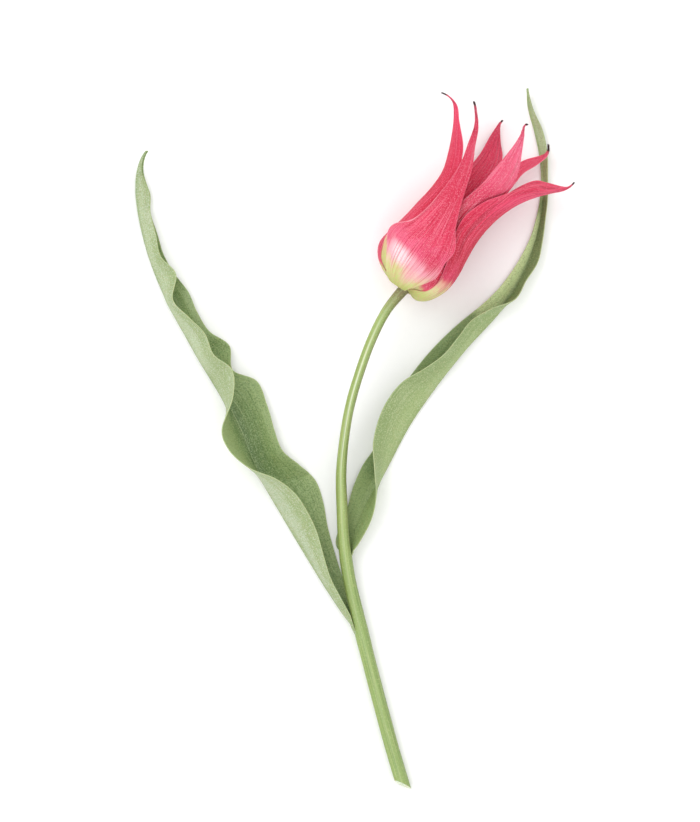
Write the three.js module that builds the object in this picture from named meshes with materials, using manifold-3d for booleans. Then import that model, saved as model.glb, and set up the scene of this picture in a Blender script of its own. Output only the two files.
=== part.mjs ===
// A cut tulip with a lily-shaped bloom, lying on a flat surface: a bent stem, two channelled leaves
// that clasp it, six tapering petals in two whorls, and the pistil and six stamens inside them.
// Millimetres. +Z is up from the surface, +Y runs from the cut end towards the bloom, and the origin
// is on the surface, under the middle of the flower's outline.
import * as THREE from "three";
import { mergeVertices } from "three/addons/utils/BufferGeometryUtils.js";
import Module from "manifold-3d";

const wasm = await Module();
wasm.setup();

// Driving dimensions
const PETAL_THICKNESS = 0.7;
const LEAF_THICKNESS = 0.8;
const GAP = 0.3; // between pieces that touch on the real flower
const LEAF_CLEARANCE = 0.7; // from the round stem to the flat facets of a leaf wrapped about it
const PETAL_CELLS = { along: 30, across: 8 };
const LEAF_CELLS = { along: 54, across: 8 };

// The bloom's own frame: heights run up its axis from its base, and angles turn about the axis from
// straight up, 90 degrees being the flower's right as seen from above.
const BLOOM_BASE = new THREE.Vector3(21.6, 66.8, 20);
const BLOOM_AXIS = new THREE.Vector3(0.5635, 0.8261, 0).normalize();
const BLOOM_RIGHT = new THREE.Vector3(BLOOM_AXIS.y, -BLOOM_AXIS.x, 0);
const BLOOM_UP = new THREE.Vector3(0, 0, 1);
const RECEPTACLE_RADIUS = 3.0;
const RECEPTACLE_TOP = 3.2;

// The stem's centre line from the cut end to the bloom, with its radius: [x, y, z, radius].
const STEM = [
  [21.6, -155.9, 3.15, 3.1],
  [17.0, -140.5, 3.25, 3.1],
  [12.9, -125.5, 3.4, 3.1],
  [8.9, -110.5, 3.7, 3.1],
  [4.9, -95.0, 4.1, 3.1],
  [1.0, -79.0, 4.6, 3.0],
  [-2.6, -63.0, 5.2, 2.85],
  [-4.9, -47.0, 6.0, 2.65],
  [-5.8, -31.0, 7.3, 2.5],
  [-6.2, -16.0, 9.0, 2.35],
  [-4.9, -0.7, 11.3, 2.2],
  [-2.3, 14.5, 13.8, 2.1],
  [2.0, 29.5, 16.2, 2.1],
  [7.4, 44.3, 18.3, 2.1],
  [13.9, 57.2, 19.6, 2.15],
  [21.1, 66.3, 20.0, 2.5],
];
const STEM_SIDES = 14;
const STEM_RINGS = 52;
const CUT_SLANT = 0.9; // how far the cut end runs on along the stem, for each millimetre across it

// Each leaf is a channel folded along its keel. The keel is [x, y, z] from base to tip. near and far
// are how far the upper and the lower half's edge lie to the right of the keel, seen from above, and
// width is the real width of each half, all at even steps from base to tip.
const LOWER_LEAF = {
  keel: [
    [1.2, -88.6, 3.6],
    [-10.0, -71.7, 2.6],
    [-22.0, -52.7, 1.6],
    [-33.4, -33.4, 1.0],
    [-44.2, -14.0, 1.2],
    [-53.0, 7.1, 2.2],
    [-64.6, 26.2, 3.0],
    [-75.9, 45.7, 2.6],
    [-86.3, 65.6, 1.6],
    [-94.1, 86.6, 1.2],
    [-98.4, 108.6, 2.4],
    [-98.0, 129.6, 4.6],
  ],
  near: [
    0, 2, 3, 4, 6.8, 9.6, 10.6, 9.8, 5.5, -3.2, -8.3, -7.1, 4.6, 10.4, 6.8, 7.4, 4.6, 2, 8.6,
    5, 5.6, 5.3, 6.2, 1.6, 0.4,
  ],
  far: [
    0.3, 4, 7, 9.4, 12.2, 15.2, 18.9, 20.8, 18, 14.2, 14, 15.6, 17.1, 10.6, 14.9, 10.3, 9.7,
    10.4, 8.2, 6.5, 6.4, 5.4, 6, 2.4, 1,
  ],
  width: [2.2, 5.5, 9, 13, 17, 20, 21.5, 21.5, 20, 18, 16, 13.5, 11, 8.5, 6, 3, 0.5],
  lift: 0.3,
  hook: 4,
  clasp: 0.05,
};
const UPPER_LEAF = {
  keel: [
    [-4.5, -52.9, 2.2],
    [3.6, -32.6, 1.8],
    [14.1, -13.5, 1.2],
    [24.3, 5.8, 1.0],
    [36.7, 23.8, 1.6],
    [50.3, 40.9, 2.2],
    [64.9, 57.0, 1.6],
    [76.2, 74.4, 1.0],
    [82.9, 94.0, 0.9],
    [85.2, 115.3, 0.8],
    [82.6, 136.7, 1.6],
    [77.0, 157.5, 4.0],
  ],
  near: [
    1.5, 4, 5, 2.4, -4, -10, -13, -14.3, -13.3, -9, -6, -6, -6.7, -3.5, 2.4, 2.3, 3.6, 2.7,
    1.9, 1.8, 1.7, 2.6, 2, 0.9, 0.6,
  ],
  far: [
    -5.2, -6.9, -7, -9, -10, -9, -10, -11, -12, -12, -11.5, -10.5, -9.3, -7.8, -6.4, -5.5,
    -4.3, -3, -2.2, -1.6, -1.2, -1.1, -1.5, -1.2, 0.1,
  ],
  width: [4.5, 7.5, 11.5, 14.5, 16, 16, 14.5, 13, 11.5, 9.5, 6.8, 5.2, 3.6, 2.8, 3, 2.4, 0.7],
  lift: 0.25,
  hook: 0.5,
  clasp: 0.03,
};
const KEEL_SHARPNESS = 1.5; // 1 folds the leaf to a crease, 2 rounds it to a gutter
const HOOK_START = 0.93; // where the tip starts to bend aside, by hook millimetres at its end

// Each petal from base to tip: [height, radius, left angle, right angle], and where its edges leave
// that radius, how far the left and the right edge stand out from it, and how far each runs ahead.
const PETALS = {
  petal_outer_front: [
    [0.9, 3.4, -78, 14],
    [0.4, 9.0, -60, 7],
    [4.6, 15.3, -54, 16],
    [12.0, 19.2, -62, 28],
    [20.0, 20.2, -83, 26, 0.6],
    [27.5, 19.1, -52, 29],
    [36.0, 17.5, -43, 13],
    [45.0, 16.3, -42, 1.5],
    [54.0, 16.3, -40.5, -9, -0.3, -0.3],
    [62.5, 18.1, -38.2, -17, -0.5, -0.5],
    [71.0, 21.2, -38.8, -27, -0.6, -0.6],
    [79.0, 24.6, -38.4, -32.6, -0.4, -0.4],
    [85.0, 27.8, -43.4, -41],
    [87.5, 30.2, -45.6, -44.2],
  ],
  petal_outer_right: [
    [0.9, 3.4, 20, 130, 0, 0, 0.4, 0],
    [0.2, 8.2, 22, 140, 2.0, 0, 2.0, 0],
    [3.8, 12.8, 46, 143, -0.2, 0, 1.0, 0],
    [11.0, 16.1, 48, 143, -0.7, 0],
    [19.0, 16.6, 37, 143],
    [27.0, 15.8, 28, 141],
    [35.5, 15.1, 18, 138],
    [44.0, 15.7, 17, 134, -0.3, -0.3],
    [52.5, 17.5, 33, 128, -3.0, -1.6, 0.8, 0.8],
    [60.5, 20.7, 60, 121, -3.6, -3.0, 2.4, 3.4],
    [67.2, 24.9, 72, 115, -1.8, -2.0, 4.4, 6.4],
    [72.8, 29.6, 76, 107, -1.4, -2.0, 2.4, 3.7],
    [77.3, 34.0, 85, 97, -0.5, -0.6, 1.2, 1.6],
    [80.4, 35.8, 87.8, 92.2, -0.2, -0.2, 0.3, 0.3],
    [83.4, 36.4, 89.4, 90.7],
  ],
  petal_outer_back: [
    [0.8, 3.4, -203, -102],
    [0.5, 9.4, -210, -88, -0.8, 0, 0, 1.2],
    [4.6, 16.9, -213, -80, -4.0, -0.5, 0, 0.6],
    [11.6, 21.1, -214, -78, -5.0, -1.0],
    [19.5, 20.5, -213, -92, -2.6, 0],
    [27.5, 18.8, -211, -106, 0, 0.4],
    [36.0, 17.0, -209, -114, 0, 0.3],
    [45.0, 15.8, -207, -122],
    [54.0, 15.7, -204, -142],
    [62.5, 16.8, -200, -156],
    [69.5, 17.9, -195.5, -160.5],
    [75.0, 18.3, -190, -160],
    [80.0, 18.4, -176, -158.6],
    [86.0, 18.2, -162.3, -158.6],
    [88.6, 18.2, -161.8, -159.6],
  ],
  petal_inner_front: [
    [2.6, 3.4, 0, 60],
    [2.7, 8.4, -16, 68],
    [6.8, 12.8, -22, 75, 1.0, 0],
    [13.6, 15.0, -23, 77, 2.0, -0.6],
    [21.0, 15.4, -22, 76, 2.0, -0.8],
    [29.0, 13.9, -18, 74, 1.4, -0.6],
    [37.0, 13.3, -12, 70, 0.8, -0.4],
    [45.0, 13.2, -6, 66, 0.3, -0.3],
    [53.0, 13.0, 4, 63],
    [60.0, 14.4, 11, 64, -1.0, 0.2],
    [67.5, 16.2, 13, 56, -1.4, 0.8],
    [74.5, 17.4, 14, 43, -1.0, 0.6],
    [81.0, 18.2, 14.5, 30, -0.6, 0.3],
    [87.0, 18.8, 13, 19.4],
    [91.0, 19.2, 9.5, 11.7],
    [92.8, 19.5, 11.6, 13.8],
  ],
  petal_inner_left: [
    [2.6, 3.4, -119, -60],
    [2.7, 9.2, -135, -48],
    [6.8, 16.6, -142, -44, -1.2, -2.4],
    [13.6, 19.8, -141, -43, -1.8, -3.6],
    [21.2, 19.0, -136, -43, -0.6, -0.8],
    [29.0, 17.6, -128, -42, -0.6],
    [37.0, 16.4, -118, -41, -1.5, -1.4],
    [45.0, 15.3, -108, -40, -1.2, -1.6],
    [54.0, 15.2, -98, -39, -0.6, -1.8],
    [62.0, 17.4, -93, -41, 0, -1.0],
    [69.5, 21.2, -87, -46, -0.6, -0.4],
    [77.0, 25.2, -84, -64, -0.6, -0.6],
    [82.0, 28.8, -86, -70, -0.4, -0.4],
    [83.4, 32.2, -88, -84],
    [83.0, 35.8, -90.6, -89.2],
  ],
  petal_inner_back: [
    [2.6, 3.4, 115, 180],
    [2.7, 8.4, 104, 190],
    [6.8, 12.8, 99, 196, 0, 1.0],
    [13.6, 15.0, 97, 197, -0.6, 2.0],
    [21.0, 15.4, 98, 196, -0.8, 2.0],
    [29.0, 13.9, 100, 194, -0.6, 1.4],
    [37.0, 13.3, 102, 190, -0.4, 0.8],
    [45.0, 13.3, 105, 184, -0.3, 0.3],
    [53.0, 13.8, 108, 176],
    [60.0, 15.0, 112, 166],
    [67.5, 17.2, 122, 155],
    [74.0, 19.0, 127, 150],
    [80.0, 20.8, 121, 142],
    [85.5, 22.8, 121, 130],
    [88.5, 23.0, 124, 127],
    [91.1, 22.0, 128, 130],
  ],
};

// The pistil and the stamens stand on the receptacle: [height, radius] rows up each one's own axis.
const OVARY = [
  [3.5, 1.35],
  [7.5, 2.1],
  [13.0, 2.3],
  [18.5, 1.8],
  [20.5, 1.6],
];
const STIGMA = [
  [20.8, 1.9],
  [21.6, 2.7],
  [22.6, 3.0],
  [23.3, 2.2],
];
const FILAMENT = [
  [0, 0.6],
  [5, 0.5],
  [9, 0.35],
];
const ANTHER = [
  [0, 0.5],
  [1, 0.95],
  [6, 1.1],
  [11, 0.9],
  [12, 0.4],
];
const OVARY_ANGLE = 27;
const STAMENS = 6;
const STAMEN_ANGLE = 57;
const STAMEN_FOOT_RADIUS = 2.4;
const STAMEN_LEAN = 16; // degrees outwards from the bloom's axis

const DEGREE = Math.PI / 180;

// The row at t, from 0 to 1, on a smooth curve through evenly spaced rows of numbers.
function flow(rows, t) {
  const place = t * (rows.length - 1);
  const first = Math.min(Math.floor(place), rows.length - 2);
  const f = place - first;
  const row = (k) => rows[Math.min(Math.max(k, 0), rows.length - 1)];
  const [before, start, end, after] = [-1, 0, 1, 2].map((k) => row(first + k));
  const size = Math.max(...rows.map((r) => r.length));
  return Array.from({ length: size }, (_, c) => {
    const [a, b, d, e] = [before, start, end, after].map((r) => r[c] ?? 0);
    return b + (f * (d - a + f * (2 * a - 5 * b + 4 * d - e + f * (3 * b - a - 3 * d + e)))) / 2;
  });
}

// One number at t on a smooth curve through evenly spaced numbers.
function flowOf(numbers, t) {
  return flow(numbers.map((n) => [n]), t)[0];
}

// The curved mid surface point(u, t), with u from -1 to 1 across and t from 0 to 1 along, thickened
// to a closed sheet whose two faces are split into triangles alike.
function sheet(point, { along, across }, thickness, lowest) {
  const grid = [];
  for (let i = 0; i <= along; i++)
    grid.push(Array.from({ length: across + 1 }, (_, j) => point((2 * j) / across - 1, i / along)));
  const at = (i, j) => grid[Math.min(Math.max(i, 0), along)][Math.min(Math.max(j, 0), across)];
  const positions = [];
  for (const side of [1, -1])
    for (let i = 0; i <= along; i++)
      for (let j = 0; j <= across; j++) {
        const acrossWay = at(i, j + 1).clone().sub(at(i, j - 1));
        const alongWay = at(i + 1, j).clone().sub(at(i - 1, j));
        const normal = acrossWay.cross(alongWay).normalize();
        const p = at(i, j).clone().addScaledVector(normal, (side * thickness) / 2);
        positions.push(p.x, p.y, Math.max(p.z, lowest));
      }
  const back = (along + 1) * (across + 1);
  const id = (i, j) => i * (across + 1) + j;
  const faces = [];
  const wall = (p, q) => faces.push(p, q, q + back, p, q + back, p + back);
  for (let i = 0; i < along; i++)
    for (let j = 0; j < across; j++) {
      const [a, b, c, d] = [id(i, j), id(i, j + 1), id(i + 1, j + 1), id(i + 1, j)];
      faces.push(a, b, c, a, c, d);
      faces.push(a + back, c + back, b + back, a + back, d + back, c + back);
    }
  for (let i = 0; i < along; i++) {
    wall(id(i, 0), id(i + 1, 0));
    wall(id(i + 1, across), id(i, across));
  }
  for (let j = 0; j < across; j++) {
    wall(id(0, j + 1), id(0, j));
    wall(id(along, j), id(along, j + 1));
  }
  return new THREE.BufferGeometry()
    .setAttribute("position", new THREE.Float32BufferAttribute(positions, 3))
    .setIndex(faces);
}

// A unit cylinder's every vertex moved by place(x, z, t), with t from 0 to 1 up its height.
function reshapedCylinder(sides, rings, place) {
  const geometry = new THREE.CylinderGeometry(1, 1, 1, sides, rings);
  geometry.deleteAttribute("normal");
  geometry.deleteAttribute("uv");
  const vertices = geometry.getAttribute("position");
  for (let k = 0; k < vertices.count; k++) {
    const moved = place(vertices.getX(k), vertices.getZ(k), vertices.getY(k) + 0.5);
    vertices.setXYZ(k, moved.x, moved.y, moved.z);
  }
  return mergeVertices(geometry, 1e-4);
}

// A round or lobed column on rows of [height, radius], standing on the bloom's axis at heights of its own.
function column(rows, sides, rings, lobes, lobeDepth) {
  return reshapedCylinder(sides, rings, (x, z, t) => {
    const [height, radius] = flow(rows, t);
    const swell = radius * (1 + lobeDepth * Math.cos(lobes * Math.atan2(x, z)));
    return new THREE.Vector3(x * swell, height, z * swell);
  });
}

function solidFrom(geometry) {
  const vertProperties = geometry.getAttribute("position").array;
  const triVerts = new Uint32Array(geometry.index.array);
  return new wasm.Manifold(new wasm.Mesh({ numProp: 3, vertProperties, triVerts }));
}

function geometryFrom(solid) {
  const { vertProperties, triVerts } = solid.getMesh();
  return new THREE.BufferGeometry()
    .setAttribute("position", new THREE.BufferAttribute(vertProperties, 3))
    .setIndex(new THREE.BufferAttribute(triVerts, 1));
}

// A point given by its height, radius and angle in the bloom's frame.
function inBloom(height, radius, degrees) {
  return BLOOM_BASE.clone()
    .addScaledVector(BLOOM_AXIS, height)
    .addScaledVector(BLOOM_RIGHT, radius * Math.sin(degrees * DEGREE))
    .addScaledVector(BLOOM_UP, radius * Math.cos(degrees * DEGREE));
}

// The matrix that stands a piece modelled up +Y on the bloom's axis.
const ON_BLOOM = new THREE.Matrix4()
  .makeBasis(BLOOM_RIGHT, BLOOM_AXIS, BLOOM_UP)
  .setPosition(BLOOM_BASE);

// Stem: a bent tube with a slanting cut end, joined to the receptacle that carries the bloom.
function stemFrame(t) {
  const [x, y, z, radius] = flow(STEM, t);
  const step = 1e-3;
  const [before, after] = [flow(STEM, Math.max(t - step, 0)), flow(STEM, Math.min(t + step, 1))];
  const along = new THREE.Vector3(...after).sub(new THREE.Vector3(...before)).normalize();
  const right = new THREE.Vector3(along.y, -along.x, 0).normalize();
  const up = right.clone().cross(along);
  return { centre: new THREE.Vector3(x, y, z), radius, along, right, up };
}

function stemGeometry() {
  const tube = reshapedCylinder(STEM_SIDES, STEM_RINGS, (x, z, t) => {
    const { centre, radius, along, right, up } = stemFrame(t);
    const slant = t === 0 ? -CUT_SLANT * radius * (x - 0.3 * z) : 0;
    return centre
      .addScaledVector(right, x * radius)
      .addScaledVector(up, z * radius)
      .addScaledVector(along, slant);
  });
  const profile = [
    [0, -6],
    [2.15, -6],
    [2.4, -2],
    [RECEPTACLE_RADIUS, -0.2],
    [RECEPTACLE_RADIUS, RECEPTACLE_TOP],
    [0, RECEPTACLE_TOP],
  ];
  const lathe = new THREE.LatheGeometry(
    profile.map(([r, h]) => new THREE.Vector2(r, h)),
    STEM_SIDES,
  );
  lathe.deleteAttribute("normal");
  lathe.deleteAttribute("uv");
  const receptacle = mergeVertices(lathe.applyMatrix4(ON_BLOOM), 1e-4);
  return geometryFrom(solidFrom(tube).add(solidFrom(receptacle)));
}

const STEM_SAMPLES = Array.from({ length: 241 }, (_, k) => stemFrame(k / 240));

// p, moved straight away from the stem's centre line if it's nearer than a leaf may come, and drawn
// in to that distance by the share clasp.
function clearOfStem(p, clasp) {
  let nearest = STEM_SAMPLES[0];
  for (const sample of STEM_SAMPLES)
    if (p.distanceToSquared(sample.centre) < p.distanceToSquared(nearest.centre)) nearest = sample;
  const away = p.clone().sub(nearest.centre);
  away.addScaledVector(nearest.along, -away.dot(nearest.along));
  const least = nearest.radius + LEAF_CLEARANCE + LEAF_THICKNESS / 2;
  const short = least - away.length();
  if (short <= 0) return p.addScaledVector(away.clone().normalize(), short * clasp);
  if (p.distanceTo(nearest.centre) > least + 2) return p;
  return p.addScaledVector(away.clone().normalize(), short);
}

// Leaf: the upper half stands over the keel and shows its back, the lower half rests on the surface.
function leafPoint(leaf, u, t) {
  const step = 1e-3;
  const [x, y, z] = flow(leaf.keel, t);
  const [before, after] = [flow(leaf.keel, Math.max(t - step, 0)), flow(leaf.keel, Math.min(t + step, 1))];
  const right = new THREE.Vector3(after[1] - before[1], before[0] - after[0], 0).normalize();
  const bend = leaf.hook * Math.max((t - HOOK_START) / (1 - HOOK_START), 0) ** 2;
  const keel = new THREE.Vector3(x, y, z).addScaledVector(right, bend);
  const [near, far, width] = [leaf.near, leaf.far, leaf.width].map((list) => flowOf(list, t));
  const rise = (shown) => Math.sqrt(Math.max(width * width - shown * shown, 0));
  const nearEdge = keel.clone().addScaledVector(right, near).setZ(z + rise(near));
  const floorHeight = LEAF_THICKNESS / 2 + leaf.lift * rise(far);
  const tipHeight = t < 0.5 ? 0 : z - width; // the narrow tip is held off the surface
  const farEdge = keel.clone().addScaledVector(right, far).setZ(Math.max(floorHeight, tipHeight));
  const middle = nearEdge.clone().add(farEdge).multiplyScalar(0.5);
  const fold = 1 - Math.abs(u) ** KEEL_SHARPNESS;
  const p = middle.clone().addScaledVector(farEdge.sub(nearEdge), u / 2);
  p.addScaledVector(keel.sub(middle), fold);
  p.z = Math.max(p.z, LEAF_THICKNESS / 2);
  return clearOfStem(p, Math.max(1 - t / leaf.clasp, 0) ** 2);
}

function leafGeometry(leaf) {
  return sheet((u, t) => leafPoint(leaf, u, t), LEAF_CELLS, LEAF_THICKNESS, 0);
}

// Petal: a strip of the bloom's round wall that narrows to a thread and leans out at its tip.
function petalPoint(rows, u, t) {
  const [height, radius, left, right, outLeft, outRight, aheadLeft, aheadRight] = flow(rows, t);
  const bent = (atLeft, atRight) => ((atRight - atLeft) * u + (atRight + atLeft) * u * u) / 2;
  const degrees = (left + right) / 2 + ((right - left) / 2) * u;
  const p = inBloom(height + bent(aheadLeft, aheadRight), radius + bent(outLeft, outRight), degrees);
  p.z = Math.max(p.z, PETAL_THICKNESS / 2);
  return p;
}

function petalGeometry(rows) {
  const full = rows.map((row) => Array.from({ length: 8 }, (_, k) => row[k] ?? 0));
  return sheet((u, t) => petalPoint(full, u, t), PETAL_CELLS, PETAL_THICKNESS, 0);
}

// A stamen's matrix: its foot on the receptacle, leaning outwards, lifted by height along itself.
function stamenMatrix(number, height) {
  const turn = new THREE.Matrix4().makeRotationY((STAMEN_ANGLE + (360 / STAMENS) * number) * DEGREE);
  const foot = new THREE.Matrix4().makeTranslation(0, RECEPTACLE_TOP + GAP, STAMEN_FOOT_RADIUS);
  const lean = new THREE.Matrix4().makeRotationX(STAMEN_LEAN * DEGREE);
  const lift = new THREE.Matrix4().makeTranslation(0, height, 0);
  return ON_BLOOM.clone().multiply(turn).multiply(foot).multiply(lean).multiply(lift);
}

const flower = new THREE.Group();

function addPiece(name, geometry, color, roughness) {
  const material = new THREE.MeshStandardMaterial({ color, roughness, metalness: 0 });
  const mesh = new THREE.Mesh(geometry, material);
  mesh.name = name;
  flower.add(mesh);
  return mesh;
}

addPiece("stem", stemGeometry(), 0x9db468, 0.55);
addPiece("leaf_lower", leafGeometry(LOWER_LEAF), 0x86a36c, 0.6);
addPiece("leaf_upper", leafGeometry(UPPER_LEAF), 0x86a36c, 0.6);
for (const [name, rows] of Object.entries(PETALS)) addPiece(name, petalGeometry(rows), 0xdc4a68, 0.5);

const pistilTurn = new THREE.Matrix4().makeRotationY(OVARY_ANGLE * DEGREE);
const pistilMatrix = ON_BLOOM.clone().multiply(pistilTurn);
addPiece("pistil_ovary", column(OVARY, 12, 8, 3, 0.1).applyMatrix4(pistilMatrix), 0xb7c77a, 0.5);
addPiece("pistil_stigma", column(STIGMA, 18, 5, 3, 0.3).applyMatrix4(pistilMatrix), 0xe6dca0, 0.6);
const filamentLength = FILAMENT[FILAMENT.length - 1][0];
for (let number = 0; number < STAMENS; number++) {
  const filament = column(FILAMENT, 8, 4, 1, 0).applyMatrix4(stamenMatrix(number, 0.2));
  const anther = column(ANTHER, 8, 8, 2, 0.15);
  anther.applyMatrix4(stamenMatrix(number, filamentLength + 0.2 + GAP));
  addPiece(`stamen_${number + 1}_filament`, filament, 0xdcd68c, 0.5);
  addPiece(`stamen_${number + 1}_anther`, anther, 0x5b3a4a, 0.8);
}

export default flower;
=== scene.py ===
import math

import bpy
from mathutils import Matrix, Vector, noise
from mathutils.kdtree import KDTree


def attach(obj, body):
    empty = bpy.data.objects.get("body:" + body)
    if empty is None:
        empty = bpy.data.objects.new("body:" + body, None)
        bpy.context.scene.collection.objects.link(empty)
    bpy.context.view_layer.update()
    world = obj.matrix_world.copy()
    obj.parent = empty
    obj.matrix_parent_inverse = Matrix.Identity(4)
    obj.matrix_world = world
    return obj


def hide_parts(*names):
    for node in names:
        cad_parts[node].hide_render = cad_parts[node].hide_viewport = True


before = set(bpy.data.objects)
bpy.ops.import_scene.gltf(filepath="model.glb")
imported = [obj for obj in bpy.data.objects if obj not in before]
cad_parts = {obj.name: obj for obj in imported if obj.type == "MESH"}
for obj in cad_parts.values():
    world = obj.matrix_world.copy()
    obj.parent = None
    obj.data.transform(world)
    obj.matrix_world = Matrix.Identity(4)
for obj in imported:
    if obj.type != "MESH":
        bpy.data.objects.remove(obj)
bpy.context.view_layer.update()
bpy.ops.object.select_all(action="DESELECT")

# Stem with its receptacle: one fleshy stalk, thick at the foot and slim below the bloom, cut off
# aslant with a knife. It swells a little where each leaf clasps it, and widens under the petals.
MM = 0.001
STEM = [  # x, y, z and radius from the cut end to the bloom, in millimetres
    [21.6, -155.9, 3.15, 3.1],
    [17.0, -140.5, 3.25, 3.1],
    [12.9, -125.5, 3.4, 3.1],
    [8.9, -110.5, 3.7, 3.1],
    [4.9, -95.0, 4.1, 3.1],
    [1.0, -79.0, 4.6, 3.0],
    [-2.6, -63.0, 5.2, 2.85],
    [-4.9, -47.0, 6.0, 2.65],
    [-5.8, -31.0, 7.3, 2.5],
    [-6.2, -16.0, 9.0, 2.35],
    [-4.9, -0.7, 11.3, 2.2],
    [-2.3, 14.5, 13.8, 2.1],
    [2.0, 29.5, 16.2, 2.1],
    [7.4, 44.3, 18.3, 2.1],
    [13.9, 57.2, 19.6, 2.15],
    [21.1, 66.3, 20.0, 2.5],
]
STEM_SIDES = 40
STEM_ROWS = 320
STEM_SHARE = 0.955  # of the rows: the others make the receptacle
STEM_RIBS = [(0.03, 9, 4), (0.02, 14, -3)]  # height, how many round the stem, twist along it
STEM_LUMPS = 0.07
TRACE_STEP = 1e-3  # of a whole run: how near the places lie that give its direction
RECEPTACLE = [[-0.7, 2.5], [0.5, 2.85], [1.6, 3.0], [2.7, 3.0], [3.2, 2.7]]  # height, radius
CUT_SLANT = 0.9  # along the stem for each millimetre across it
CUT_FACE_UP = 0.3
CUT_BLEND = 9  # millimetres of stem over which the slant dies out
CUT_RIM = 0.12  # width of the skin's edge round the cut
CUT_HOLLOW = [(0.35, -0.1), (0.7, -0.12), (0.8, -0.05)]  # how far in and how deep each step goes
LEAF_JOINTS = [-88.0, -54.0]  # y where a leaf clasps the stem
JOINT_SWELLING = 0.14
JOINT_REACH = 6
WELD = 0.005  # millimetres within which a tube's seam closes
TUBE_CREASE = 50  # degrees past which an edge stays sharp
BLOOM_BASE = Vector((21.6, 66.8, 20))
BLOOM_AXIS = Vector((0.5635, 0.8261, 0)).normalized()
BLOOM_RIGHT = Vector((BLOOM_AXIS.y, -BLOOM_AXIS.x, 0))
BLOOM_UP = Vector((0, 0, 1))


def flow(rows, t):
    """The row at t, from 0 to 1, on a smooth curve through evenly spaced rows of numbers."""
    place = t * (len(rows) - 1)
    first = min(int(place), len(rows) - 2)
    f = place - first
    near = [rows[min(max(first + k, 0), len(rows) - 1)] for k in (-1, 0, 1, 2)]
    return [
        b + f * (d - a + f * (2 * a - 5 * b + 4 * d - e + f * (3 * b - a - 3 * d + e))) / 2
        for a, b, d, e in zip(*near)
    ]


def in_bloom(height, radius, degrees):
    """A point by its height on the bloom's axis, its radius, and its angle from straight up."""
    angle = math.radians(degrees)
    side = BLOOM_RIGHT * math.sin(angle) + BLOOM_UP * math.cos(angle)
    return BLOOM_BASE + BLOOM_AXIS * height + side * radius


def shaped_grid(name, columns, rows, place):
    """A grid with its vertices moved to place(u, t): u from -1 to 1 across, t from 0 to 1 along."""
    bpy.ops.mesh.primitive_grid_add(x_subdivisions=columns, y_subdivisions=rows, size=2)
    piece = bpy.context.object
    piece.name = piece.data.name = name
    flat = [(vertex.co.x, (vertex.co.y + 1) / 2) for vertex in piece.data.vertices]
    for vertex, (u, t) in zip(piece.data.vertices, flat):
        vertex.co = place(u, t) * MM
    piece.data.update()
    return piece, flat


def closed_tube(name, sides, rows, ring):
    """A tube through ring(angle, t), in radians from its top side, with both its ends filled."""
    piece, _ = shaped_grid(name, sides, rows, lambda u, t: ring(math.pi * u, t))
    bpy.ops.object.mode_set(mode="EDIT")
    bpy.ops.mesh.select_all(action="SELECT")
    bpy.ops.mesh.remove_doubles(threshold=WELD * MM)
    bpy.ops.mesh.fill_holes(sides=0)
    bpy.ops.mesh.normals_make_consistent(inside=False)
    bpy.ops.object.mode_set(mode="OBJECT")
    bpy.ops.object.shade_smooth_by_angle(angle=math.radians(TUBE_CREASE))
    return piece


def stem_frame(t):
    """The stem's centre, radius, and its own right, up and along directions at t."""
    x, y, z, radius = flow(STEM, t)
    after, before = flow(STEM, min(t + TRACE_STEP, 1)), flow(STEM, max(t - TRACE_STEP, 0))
    along = (Vector(after[:3]) - Vector(before[:3])).normalized()
    right = Vector((along.y, -along.x, 0)).normalized()
    return Vector((x, y, z)), radius, right, right.cross(along), along


def stem_ring(angle, t):
    """The stem's skin, and above it the receptacle's, at an angle from its top side."""
    if t > STEM_SHARE:
        height, radius = flow(RECEPTACLE, (t - STEM_SHARE) / (1 - STEM_SHARE))
        return in_bloom(height, radius, math.degrees(angle))
    centre, radius, right, up, along = stem_frame(t / STEM_SHARE)
    for joint in LEAF_JOINTS:
        radius += JOINT_SWELLING * math.exp(-(((centre.y - joint) / JOINT_REACH) ** 2))
    ribs = sum(rise * math.cos(count * angle + twist * t) for rise, count, twist in STEM_RIBS)
    lump_place = Vector((centre.x * 0.08, centre.y * 0.08, 2 * math.cos(angle)))
    radius += ribs + STEM_LUMPS * noise.noise(lump_place)
    x, z = math.sin(angle), math.cos(angle)
    cut = max(1 - (centre.y - STEM[0][1]) / CUT_BLEND, 0) ** 2
    slant = -CUT_SLANT * radius * (x - CUT_FACE_UP * z) * cut
    return centre + right * (x * radius) + up * (z * radius) + along * slant


def paint(code):
    """A colour written as RRGGBB, as the linear values that a shader takes."""
    shares = [int(code[k:k + 2], 16) / 255 for k in (0, 2, 4)]
    return (*[c / 12.92 if c <= 0.04045 else ((c + 0.055) / 1.055) ** 2.4 for c in shares], 1)


def add(tree, kind, inputs=None, **settings):
    """A new shader node with its settings, and its inputs linked or given a value."""
    node = tree.nodes.new("ShaderNode" + kind)
    for key, value in settings.items():
        setattr(node, key, value)
    for key, value in (inputs or {}).items():
        if isinstance(value, bpy.types.NodeSocket):
            tree.links.new(value, node.inputs[key])
        else:
            node.inputs[key].default_value = value
    return node


def new_finish(name, roughness, subsurface=0.0, **sockets):
    """A material of plant tissue, and its node tree."""
    finish = bpy.data.materials.new(name)
    finish.use_nodes = True
    shader = finish.node_tree.nodes["Principled BSDF"]
    shader.inputs["Roughness"].default_value = roughness
    shader.inputs["Subsurface Weight"].default_value = subsurface
    shader.inputs["Subsurface Scale"].default_value = 0.8 * MM
    for key, value in sockets.items():
        shader.inputs[key.replace("_", " ")].default_value = value
    return finish, finish.node_tree


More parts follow.
